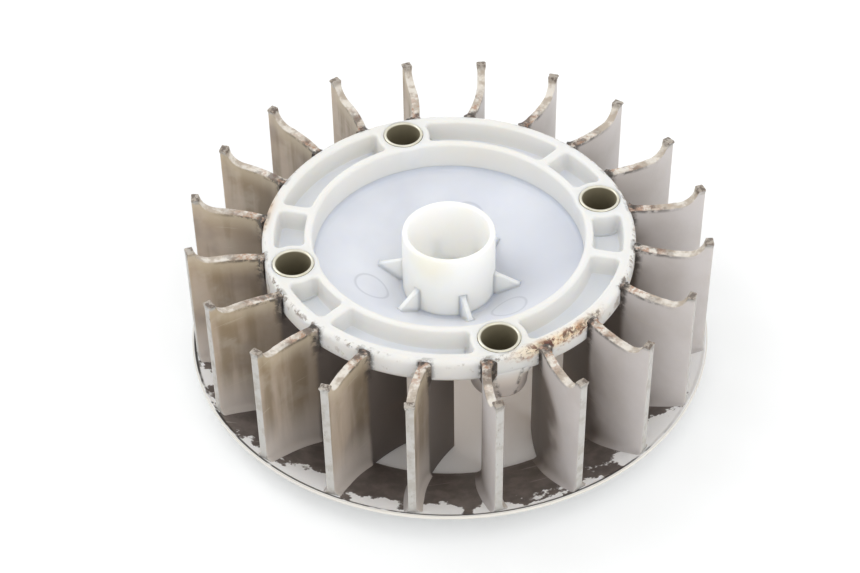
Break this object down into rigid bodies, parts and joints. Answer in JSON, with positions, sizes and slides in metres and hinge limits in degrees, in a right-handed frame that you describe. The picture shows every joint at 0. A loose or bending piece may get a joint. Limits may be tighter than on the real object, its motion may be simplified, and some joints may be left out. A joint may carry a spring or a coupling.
{
  "type": "flywheel cooling fan",
  "caption": "Moulded nylon centrifugal fan wheel: curved blades between a ring hub with sleeved bolt bosses and a conical shroud with an open inlet eye.",
  "frame": {"origin": "on the spin axis, in the plane of the blades' lower edges and the edge of the inlet eye", "axes": "+Z along the spin axis towards the hub's bolting face; +X through the centre of a bolt hole"},
  "size_m": [0.13, 0.13, 0.0422],
  "materials": {
    "nylon": "ivory moulded nylon, satin, worn",
    "nylon_blade": "moulded nylon under a brown film of dirt",
    "nylon_shroud": "moulded nylon with a dark deposit, scraped pale near the rim",
    "nylon_thin": "thin translucent nylon, bluish where light passes through",
    "zinc_steel": "yellow zinc plate, dark inside the bore"
  },
  "bodies": {
    "root": {"shroud_disc": "nylon_shroud", "blade_01": "nylon_blade", "blade_02": "nylon_blade", "blade_03": "nylon_blade", "blade_04": "nylon_blade", "blade_05": "nylon_blade", "blade_06": "nylon_blade", "blade_07": "nylon_blade", "blade_08": "nylon_blade", "blade_09": "nylon_blade", "blade_10": "nylon_blade", "blade_11": "nylon_blade", "blade_12": "nylon_blade", "blade_13": "nylon_blade", "blade_14": "nylon_blade", "blade_15": "nylon_blade", "blade_16": "nylon_blade", "blade_17": "nylon_blade", "blade_18": "nylon_blade", "blade_19": "nylon_blade", "blade_20": "nylon_blade", "outer_ring": "nylon", "inner_ring": "nylon", "channel_floor": "nylon_thin", "channel_ribs": "nylon", "dish_floor": "nylon_thin", "centre_tube": "nylon", "tube_gussets": "nylon", "bolt_boss_1": "nylon", "bolt_boss_2": "nylon", "bolt_boss_3": "nylon", "bolt_boss_4": "nylon", "sleeve_1": "zinc_steel", "sleeve_2": "zinc_steel", "sleeve_3": "zinc_steel", "sleeve_4": "zinc_steel"}
  },
  "joints": []
}
